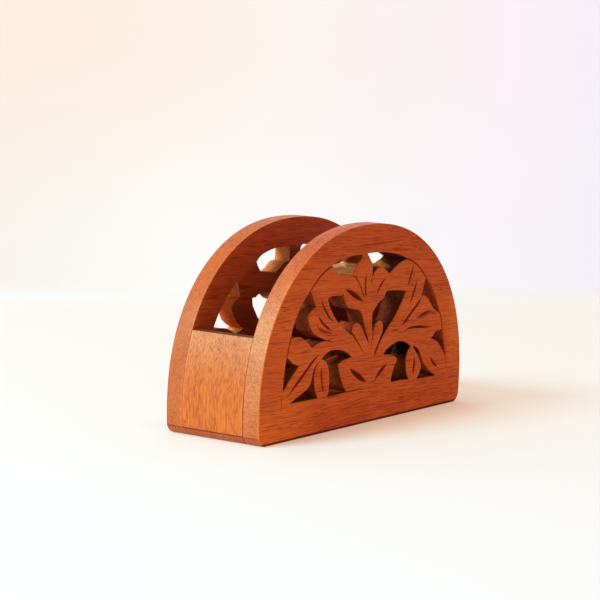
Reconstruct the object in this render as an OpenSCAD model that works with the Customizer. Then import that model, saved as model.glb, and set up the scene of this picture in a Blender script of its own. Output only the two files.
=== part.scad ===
// Carved wooden napkin holder: two fretwork arch panels, two end boards that
// close the lower half of the ends, and a floor board the napkins stand on.
// Millimetres, +Z up. Origin: centre of the footprint, on the table.
// +X runs along the panels, -Y is the front.

/* [Body] */
// Length over the panels
body_w = 150; // [146:1:160]
// Height of the arches
body_h = 83; // [83:1:90]
// Depth over both panels
body_d = 46; // [40:1:70]
// Thickness of each carved panel
panel_t = 8; // [7:0.5:10]
// Height above the table of the widest line of the arch
arch_z = 12; // [10:1:14]
// Fullness of the arch: 2 is an ellipse, higher is squarer
arch_n = 2.2; // [2.1:0.05:2.4]

/* [End boards] */
// Height of the end boards
end_h = 42; // [38:1:44]
// Clear length between the end boards, for 127 mm folded napkins
clear_l = 129; // [128:0.5:130]

/* [Lower corners] */
// Height of the bevel along the foot of each end
bevel_h = 3.4; // [2.4:0.2:4.4]
// Angle of that bevel from the vertical
bevel_a = 27; // [15:1:35]
// Radius between the bevel and the base
toe_r = 1.6; // [0.8:0.2:2]

/* [Floor board] */
// Thickness of the floor board
floor_t = 5; // [4:0.5:6]
// Gap between the table and the underside of the floor board
floor_z = 3; // [2:0.5:4]
// Depth of the grooves that hold the floor board
groove = 2.5; // [1.5:0.5:3.5]

/* [Dowels] */
// Diameter of the hidden dowel pins
pin_d = 4; // [3:0.5:4.5]
// Length of the dowel pins
pin_l = 16; // [12:1:18]
// Depth that a pin enters a panel
pin_in = 5; // [4:0.5:5.5]
// Height of the lower dowel pins above the table
pin_low = 14; // [10:1:18]
// Height of the upper dowel pins above the table
pin_high = 32; // [26:1:36]

/* [Hidden] */

half_w = body_w / 2;
in_y = body_d / 2 - panel_t;          // inner face of each panel, from the centre
end_x = clear_l / 2;                  // inner face of each end board
pin_x = end_x + 4.5;                  // dowel line along the end boards
pin_z = [pin_low, pin_high];
bore_r = pin_d / 2 + 0.05;            // glue clearance round a pin
eps = 1;                              // how far a cutter runs past a face

// ---- outline of the panels -------------------------------------------------

// half width of the arch at height z
function half_at(z) =
    half_w * pow(1 - pow(abs(z - arch_z) / (body_h - arch_z), arch_n), 1 / arch_n);

// upper part of the right half, from the widest line to the crown
function crown(step) = [for (t = [0:step:90])
    [half_w * pow(cos(t), 2 / arch_n),
     arch_z + (body_h - arch_z) * pow(sin(t), 2 / arch_n)]];

// lower corner: a bevel, and a small arc where it meets the flat base
toe_z = toe_r * (1 - sin(bevel_a));
toe_x = half_at(bevel_h) - (bevel_h - toe_z) * tan(bevel_a) - toe_r * cos(bevel_a);
function corner(n) = [for (i = [0:n]) let (a = -90 + (90 - bevel_a) * i / n)
    [toe_x + toe_r * cos(a), toe_r + toe_r * sin(a)]];
// between that bevel and the widest line
function side(n) = [for (i = [0:n - 1]) let (z = bevel_h + (arch_z - bevel_h) * i / n)
    [half_at(z), z]];

function right_half() = concat(corner(6), side(4), crown(2.5));
function outline_pts() = let (r = right_half(), m = len(r))
    concat(r, [for (i = [m - 2:-1:0]) [-r[i][0], r[i][1]]]);

module outline() polygon(outline_pts());

// ---- fretwork --------------------------------------------------------------
// Each opening is a closed ring of curved edges that meet at sharp corners.
// An edge is a short list of [x, z] points, and a smooth curve runs through
// them. The points are given for a panel 150 wide and 83 high.

function bend(a, b, c, d, t) = 0.5 * (2 * b + (c - a) * t
    + (2 * a - 5 * b + 4 * c - d) * t * t + (3 * b - a - 3 * c + d) * t * t * t);
function edge(s, n) = let (m = len(s)) m < 3 ? [s[0]] :
    [for (i = [0:m - 2]) for (k = [0:n - 1])
        bend(i == 0 ? 2 * s[0] - s[1] : s[i - 1], s[i], s[i + 1],
             i == m - 2 ? 2 * s[m - 1] - s[m - 2] : s[i + 2], k / n)];
function ring(o, n) = [for (s = o) each edge(s, n)];

// left of the long lower leaf
gap_left_low = [
    [[-59.5, 20.3], [-59, 25], [-58.3, 30], [-57.4, 34]],
    [[-57.4, 34], [-55, 32.5], [-53, 31], [-51.5, 30.3], [-48.8, 29.5]],
    [[-48.8, 29.5], [-52, 27], [-55, 24.5], [-57.5, 22], [-59.5, 20.3]]];
// left of the left lily
gap_left_mid = [
    [[-55, 41.2], [-53.8, 45], [-51.8, 49], [-49, 53], [-46, 56], [-42.3, 59.2]],
    [[-42.3, 59.2], [-40.8, 57], [-39.6, 54.5], [-38, 52.4]],
    [[-38, 52.4], [-40.5, 51.3], [-42.8, 49.9], [-43.6, 48.2], [-42.8, 46.3],
     [-41.5, 44.3], [-40, 42.3], [-38, 41], [-35, 39.6], [-32, 38.5], [-28.8, 37.7]],
    [[-28.8, 37.7], [-33, 37.7], [-36, 37.2], [-40.1, 35.9]],
    [[-40.1, 35.9], [-41.5, 37], [-44, 38.8], [-46.5, 40.3], [-49, 41.1],
     [-52, 41.3], [-55, 41.2]]];
// over the left petals, under the crown
gap_left_mid_rear = [
    [[-55.8, 40.9], [-54.1, 44], [-51.8, 47.6], [-49, 51], [-46.1, 54], [-43, 57], [-40.3, 59.2]],
    [[-40.3, 59.2], [-39.4, 57], [-38.7, 54.7], [-38, 52.4]],
    [[-38, 52.4], [-40.5, 51.3], [-42.8, 49.9], [-43.6, 48.2], [-42.8, 46.3],
     [-41.5, 44.3], [-40, 42.3], [-38, 40.8], [-35, 39.1]],
    [[-35, 39.1], [-38, 38.1], [-40.4, 37.3]],
    [[-40.4, 37.3], [-42, 38.1], [-44, 39.1], [-46.5, 40.1], [-49, 40.6], [-52, 40.8],
     [-55.8, 40.9]]];
gap_top_left = [
    [[-27.2, 67.7], [-26, 68.7], [-22, 69.7], [-17, 70.4], [-11, 70.9], [-6, 71]],
    [[-6, 71], [-5.8, 69.9], [-6.8, 68.8], [-9, 67.6], [-10.8, 66], [-12, 64.4],
     [-12.4, 62.9]],
    [[-12.4, 62.9], [-14.5, 63.3], [-17, 63.7], [-19.8, 64], [-21.5, 63.7], [-23, 64.1]],
    [[-23, 64.1], [-24.3, 65.4], [-25.6, 66.4], [-27.2, 67.7]]];
gap_top_left_rear = [
    [[-27.3, 66.1], [-25, 68], [-22, 69.2], [-18, 70.2], [-14, 70.8], [-9, 71], [-4.5, 71]],
    [[-4.5, 71], [-3.8, 69], [-3.8, 66.5], [-4.2, 64.6]],
    [[-4.2, 64.6], [-7.5, 64.2], [-10.5, 62.3], [-13.3, 60.5]],
    [[-13.3, 60.5], [-18, 61.2], [-24.2, 61.7]],
    [[-24.2, 61.7], [-26.2, 64], [-27.3, 66.1]]];
// over the right petals, under the crown
gap_top_right = [
    [[-1.8, 71], [0, 68.7], [1.6, 67], [2.2, 65], [2.1, 62.5], [1.6, 59.8]],
    [[1.6, 59.8], [2.6, 61.6], [4, 63.2], [6, 64.3], [8, 64.6], [10.5, 64],
     [13, 62.8], [15.2, 61.5]],
    [[15.2, 61.5], [17, 62.5], [20, 64], [23, 65.3], [26, 66.2], [29.5, 66.5]],
    [[29.5, 66.5], [25, 68], [20, 69.3], [15, 70.1], [10, 70.7], [5, 71], [-1.8, 71]]];
// between the left lily and the stem
gap_top_right_rear = [
    [[4, 71.2], [4.1, 69.3], [3.6, 67.3], [2.6, 65], [2.1, 62.5], [1.6, 59.8]],
    [[1.6, 59.8], [2.6, 61.6], [4, 63.2], [6, 64.3], [8, 64.6], [10.5, 64],
     [13, 62.8], [15.2, 61.5]],
    [[15.2, 61.5], [17, 62.5], [20, 64], [23, 65.3], [26, 66.2], [29.5, 66.5]],
    [[29.5, 66.5], [25, 68], [20, 69.3], [15, 70.1], [10, 70.8], [4, 71.2]]];
gap_stem_left = [
    [[-29.8, 54.7], [-27, 55.5], [-23, 55.4], [-20.3, 55.2], [-19, 55.9]],
    [[-19, 55.9], [-18.3, 54], [-17, 52], [-15.4, 50]],
    [[-15.4, 50], [-13, 49.2], [-10, 48.6], [-7, 48], [-5.3, 47], [-4, 45],
     [-2.6, 42], [-1, 38.5], [0.4, 35.8], [1.5, 33.2]],
    [[1.5, 33.2], [-0.5, 35.3], [-2.5, 38], [-4.5, 40.6], [-6.5, 42.3], [-8.4, 42.9],
     [-10.2, 42.3], [-11.2, 41], [-11.3, 39.5], [-10.6, 37.9]],
    [[-10.6, 37.9], [-13, 38.7], [-16, 40.5], [-20, 42.9], [-23, 45.2], [-25, 47.2],
     [-27, 49.6], [-28.6, 52], [-29.8, 54.7]]];
gap_stem_left_rear = [
    [[-29.6, 51.3], [-28.4, 51.2], [-27.3, 51.3]],
    [[-27.3, 51.3], [-25, 52.4], [-20, 52.6], [-17, 52], [-14, 50.5], [-11.5, 48.9],
     [-8, 48], [-5.3, 46.6], [-4, 45], [-2.6, 42], [-1, 38.5], [0.4, 35.8], [1.5, 33.2]],
    [[1.5, 33.2], [-0.5, 35.3], [-2.5, 38], [-4.5, 40.6], [-6.5, 42.3], [-8.4, 42.9],
     [-10.2, 42.3], [-11.2, 41], [-11.3, 39.5], [-10.6, 37.4]],
    [[-10.6, 37.4], [-13, 37.8], [-16, 38.6], [-20, 39.8], [-23, 41], [-25.2, 42.5],
     [-27.3, 45.3], [-29.2, 48.2], [-29.6, 51.3]]];
// between the stem and the right leaf
gap_stem_right = [
    [[3, 45.7], [5, 47.6], [8, 49.9], [11, 51.3], [12.2, 52.6], [13.2, 53.9]],
    [[13.2, 53.9], [16, 54.1], [20, 53.8], [25, 53.4], [28.6, 53]],
    [[28.6, 53], [27, 50.6], [25, 48], [23, 45.6], [21, 43.5], [18.5, 41.2],
     [16, 39.2], [13.5, 37], [11, 34.5], [9, 32.1], [7, 29.3], [5.4, 27.2]],
    [[5.4, 27.2], [6, 29.4], [8, 32.4], [9.7, 34.9], [11, 36.7], [11.5, 38.3],
     [11.4, 40], [10.6, 41.5], [9, 42.2], [7.2, 41.9], [5.6, 41], [4.7, 39.5], [4, 36.5]],
    [[4, 36.5], [3.4, 39], [3.1, 42], [3, 45.7]]];
// between the right lily and the frame
gap_right_high = [
    [[44.6, 57.2], [48, 53.9], [51, 50.3], [53.5, 46.4], [55.2, 43.4], [56.4, 41]],
    [[56.4, 41], [54, 42], [51.2, 43.5], [49, 45.5], [47, 47.4], [45, 49],
     [43.3, 49.7], [41, 49.9]],
    [[41, 49.9], [42, 52.2], [43, 54.6], [43.8, 56.6], [44.6, 57.2]]];
gap_right_low = [
    [[50.1, 30.2], [52, 31.6], [54, 33.1]],
    [[54, 33.1], [56.5, 33.1], [58.9, 33.4]],
    [[58.9, 33.4], [60.2, 30], [61.3, 26], [62.4, 22.5], [63.5, 18.4]],
    [[63.5, 18.4], [61.8, 22], [60, 24.4], [57.5, 27], [55, 28.7], [52.5, 29.8],
     [50.1, 30.2]]];
// under the left leaves
gap_foot_left = [
    [[-54.2, 15.1], [-50, 16.7], [-46, 18.1], [-43, 19.3], [-41, 20.6], [-40, 22],
     [-39.2, 24.3], [-38.6, 26.4], [-37.2, 28.2], [-34.6, 30.1]],
    [[-34.6, 30.1], [-36.6, 27.9], [-37.6, 26], [-37.9, 23.5], [-37.6, 20.5],
     [-36.8, 18], [-35, 14.9]],
    [[-35, 14.9], [-54.2, 15.1]]];
gap_vase_left = [
    [[-33.2, 30.6], [-30, 32.4], [-27, 33.2], [-24, 33.3], [-20, 32.8], [-17, 32.1],
     [-14, 30.8], [-11.3, 29]],
    [[-11.3, 29], [-14, 28.7], [-18, 28.2], [-21.2, 27.1]],
    [[-21.2, 27.1], [-20.4, 25], [-19.1, 22], [-17.6, 19], [-16, 16.7], [-14.2, 14.9]],
    [[-14.2, 14.9], [-28.2, 14.5]],
    [[-28.2, 14.5], [-27.4, 17], [-27.1, 20], [-27.3, 23], [-28, 26.2], [-29.3, 28.5],
     [-31, 29.8], [-33.2, 30.6]]];
// under the right leaves
gap_vase_right = [
    [[12.6, 27.4], [15, 29.2], [18, 30.5], [21, 31.3], [25, 31.8], [28.5, 31.2],
     [31, 30.3], [34, 28.7]],
    [[34, 28.7], [32.3, 27.5], [31, 25.7], [30.4, 23.8], [30.6, 20.5], [31.2, 18],
     [32, 16], [33, 14.5]],
    [[33, 14.5], [28, 14.9], [19, 14.9]],
    [[19, 14.9], [19.5, 17.2], [20.4, 19.5], [21.7, 21.8], [23.4, 23.9]],
    [[23.4, 23.9], [22.8, 24.9], [20.8, 26], [17.5, 26.9], [12.6, 27.4]]];
gap_foot_right = [
    [[35.3, 28.9], [38, 27.9], [40, 26.6], [41.7, 24.8], [43, 22.5], [44.8, 20.3],
     [47, 18.3], [50, 16.3], [54.6, 13.6]],
    [[54.6, 13.6], [47, 13.8], [39.6, 13.9]],
    [[39.6, 13.9], [41.3, 16], [42.4, 17.5], [42.9, 18.8], [42.3, 20.5], [41, 22.7],
     [39.3, 24.8], [37.3, 26.9], [35.3, 28.9]]];

common_gaps = [gap_left_low, gap_stem_right, gap_right_high, gap_right_low,
    gap_foot_left, gap_vase_left, gap_vase_right, gap_foot_right];
front_gaps = concat(common_gaps,
    [gap_left_mid, gap_top_left, gap_top_right, gap_stem_left]);
rear_gaps = concat(common_gaps,
    [gap_left_mid_rear, gap_top_left_rear, gap_top_right_rear, gap_stem_left_rear]);

// ---- shared shapes ---------------------------------------------------------

// an x-z profile stood upright and extruded from y0 over thickness t
module upright(y0, t) translate([0, y0 + t, 0]) rotate([90, 0, 0]) linear_extrude(t) children();

// dowel positions along the end boards; s is -1 for the left and 1 for the right
module at_pins(s) for (z = pin_z) translate([s * pin_x, 0, z]) children();

// a round cutter along y from y0 to y1
module bore(y0, y1) translate([0, y1, 0]) rotate([90, 0, 0])
    cylinder(h = y1 - y0, r = bore_r, $fn = 48);

// a carved panel with its outer face at s * body_d / 2
module panel(s, gaps) {
    difference() {
        upright(s < 0 ? -body_d / 2 : in_y, panel_t)
            difference() {
                outline();
                for (g = gaps) polygon(ring(g, 2));
            }
        // stopped groove for the floor board
        translate([-end_x, s < 0 ? -in_y - groove : in_y - eps, floor_z])
            cube([clear_l, groove + eps, floor_t]);
        // blind bores for the dowel pins
        for (e = [-1, 1]) at_pins(e)
            bore(s < 0 ? -in_y - pin_in - 0.5 : in_y - eps,
                 s < 0 ? -in_y + eps : in_y + pin_in + 0.5);
    }
}

// an end board, its outer face sanded to the same curve as the panels
module end_board(s) {
    difference() {
        upright(-in_y, 2 * in_y)
            intersection() {
                outline();
                translate([s < 0 ? -half_w - 1 : end_x, -1]) square([half_w + 1 - end_x, end_h + 1]);
            }
        for (f = [-1, 1]) at_pins(s)
            bore(f < 0 ? -in_y - eps : in_y - (pin_l - pin_in) - 0.5,
                 f < 0 ? -in_y + (pin_l - pin_in) + 0.5 : in_y + eps);
    }
}

// one dowel pin with chamfered ends, along y, from y0
module pin(y0) translate([0, y0, 0]) rotate([-90, 0, 0]) rotate_extrude($fn = 48)
    polygon([[0, 0], [pin_d / 2 - 0.5, 0], [pin_d / 2, 0.5],
             [pin_d / 2, pin_l - 0.5], [pin_d / 2 - 0.5, pin_l], [0, pin_l]]);

// the four pins that join one end board to both panels
module pins(s) at_pins(s) {
    pin(-in_y - pin_in);
    pin(in_y + pin_in - pin_l);
}

// ---- the pieces ------------------------------------------------------------

module front_panel() color([0.69, 0.31, 0.14]) panel(-1, front_gaps);
module back_panel() color([0.66, 0.29, 0.13]) panel(1, rear_gaps);
module left_end_board() color([0.86, 0.52, 0.27]) end_board(-1);
module right_end_board() color([0.80, 0.46, 0.24]) end_board(1);
module floor_board() color([0.58, 0.29, 0.14])
    translate([-end_x, -in_y - groove, floor_z]) cube([clear_l, 2 * (in_y + groove), floor_t]);
module left_dowels() color([0.86, 0.70, 0.48]) pins(-1);
module right_dowels() color([0.86, 0.70, 0.48]) pins(1);

front_panel();
back_panel();
left_end_board();
right_end_board();
floor_board();
left_dowels();
right_dowels();
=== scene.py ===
import math

import bpy
import numpy as np
from mathutils import Matrix, Vector, kdtree
from mathutils.geometry import delaunay_2d_cdt


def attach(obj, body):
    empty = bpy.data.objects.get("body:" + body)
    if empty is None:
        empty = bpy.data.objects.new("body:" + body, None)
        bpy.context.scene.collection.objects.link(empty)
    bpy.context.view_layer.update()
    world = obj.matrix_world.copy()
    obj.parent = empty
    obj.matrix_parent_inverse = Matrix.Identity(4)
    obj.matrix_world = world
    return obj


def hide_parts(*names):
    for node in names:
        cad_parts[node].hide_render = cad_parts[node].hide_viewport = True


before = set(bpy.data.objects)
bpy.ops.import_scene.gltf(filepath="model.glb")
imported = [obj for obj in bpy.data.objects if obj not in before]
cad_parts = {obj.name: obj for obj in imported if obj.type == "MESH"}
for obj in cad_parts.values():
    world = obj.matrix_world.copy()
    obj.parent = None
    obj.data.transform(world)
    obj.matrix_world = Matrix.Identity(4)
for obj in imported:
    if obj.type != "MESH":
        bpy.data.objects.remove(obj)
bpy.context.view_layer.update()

SCENE = bpy.context.scene
MM = 0.001

# ---------------------------------------------------------------------------
# Sizes, in millimetres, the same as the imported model's
# ---------------------------------------------------------------------------
HALF_W, HEIGHT, HALF_D, WALL = 75.0, 83.0, 23.0, 8.0
ARCH_Z, ARCH_N = 12.0, 2.2
BEVEL_H, BEVEL_A, TOE_R = 3.4, math.radians(27.0), 4.6
END_H, END_X = 42.0, 64.5
IN_Y = HALF_D - WALL
FLOOR_Z, FLOOR_T, GROOVE = 3.0, 5.0, 2.5
PIN_X, PIN_Z, PIN_R = END_X + 4.5, (14.0, 32.0), 2.05

# ---------------------------------------------------------------------------
# Camera
# ---------------------------------------------------------------------------


def make_camera():
    az, el, roll = (math.radians(v) for v in (-55.116, 7.505, 1.813))
    back = np.array([math.sin(az) * math.cos(el), -math.cos(az) * math.cos(el), math.sin(el)])
    right = np.array([math.cos(az), math.sin(az), 0.0])
    up = np.cross(back, right)
    r2 = math.cos(roll) * right + math.sin(roll) * up
    u2 = -math.sin(roll) * right + math.cos(roll) * up
    cam = bpy.data.cameras.new("camera")
    cam.sensor_fit = "HORIZONTAL"
    cam.sensor_width = 36.0
    cam.lens = 2255.153 * 36.0 / 600.0
    cam.clip_start, cam.clip_end = 0.05, 20.0
    obj = bpy.data.objects.new("camera", cam)
    SCENE.collection.objects.link(obj)
    m = Matrix.Identity(4)
    for i in range(3):
        m[i][0], m[i][1], m[i][2] = r2[i], u2[i], back[i]
    m[0][3], m[1][3], m[2][3] = -0.772874, -0.526989, 0.17217
    obj.matrix_world = m
    SCENE.camera = obj


make_camera()

# ---------------------------------------------------------------------------
# Outline of the panels, and the fretwork
# ---------------------------------------------------------------------------


def half_at(z):
    return HALF_W * (1 - (abs(z - ARCH_Z) / (HEIGHT - ARCH_Z)) ** ARCH_N) ** (1 / ARCH_N)


def right_half(step=0.8):
    tz = TOE_R * (1 - math.sin(BEVEL_A))
    tx = half_at(BEVEL_H) - (BEVEL_H - tz) * math.tan(BEVEL_A) - TOE_R * math.cos(BEVEL_A)
    pts = []
    n = 8
    for i in range(n + 1):
        a = -math.pi / 2 + (math.pi / 2 - BEVEL_A) * i / n
        pts.append((tx + TOE_R * math.cos(a), TOE_R + TOE_R * math.sin(a)))
    pts += even([pts[-1], (half_at(BEVEL_H), BEVEL_H)], 0.8)[1:-1]
    for i in range(10):
        z = BEVEL_H + (ARCH_Z - BEVEL_H) * i / 10
        pts.append((half_at(z), z))
    arch = []
    for i in range(2001):
        t = math.radians(90.0 * i / 2000)
        arch.append((HALF_W * max(math.cos(t), 0.0) ** (2 / ARCH_N),
                     ARCH_Z + (HEIGHT - ARCH_Z) * math.sin(t) ** (2 / ARCH_N)))
    arch[-1] = (0.0, HEIGHT)
    pts += even(arch, step)
    return pts


def even(pts, step, keep_last=True):
    """Points at an even spacing along an open polyline."""
    p = np.array(pts, float)
    s = np.r_[0, np.cumsum(np.hypot(*np.diff(p, axis=0).T))]
    n = max(1, int(round(s[-1] / step)))
    t = np.linspace(0, s[-1], n + 1)
    q = np.c_[np.interp(t, s, p[:, 0]), np.interp(t, s, p[:, 1])]
    return [tuple(v) for v in (q if keep_last else q[:-1])]


def outline():
    r = right_half()
    left = [(-x, z) for x, z in reversed(r[:-1])]
    ring_ = r + left
    # a few points along the flat underside
    base = even([left[-1], r[0]], 3.0)[1:-1]
    return ring_ + base


def bend(a, b, c, d, t):
    return 0.5 * (2 * b + (c - a) * t + (2 * a - 5 * b + 4 * c - d) * t * t
                  + (3 * b - a - 3 * c + d) * t * t * t)


def curve(points, n=12):
    """A smooth open curve through the points."""
    s = [np.array(p, float) for p in points]
    m = len(s)
    if m < 3:
        return [tuple(p) for p in s]
    out = []
    for i in range(m - 1):
        a = 2 * s[0] - s[1] if i == 0 else s[i - 1]
        d = 2 * s[m - 1] - s[m - 2] if i == m - 2 else s[i + 2]
        for k in range(n):
            out.append(tuple(bend(a, s[i], s[i + 1], d, k / n)))
    out.append(tuple(s[-1]))
    return out


def ring(edges, step=0.45):
    out = []
    for e in edges:
        out += even(curve(e), step, keep_last=False)
    return out


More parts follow.
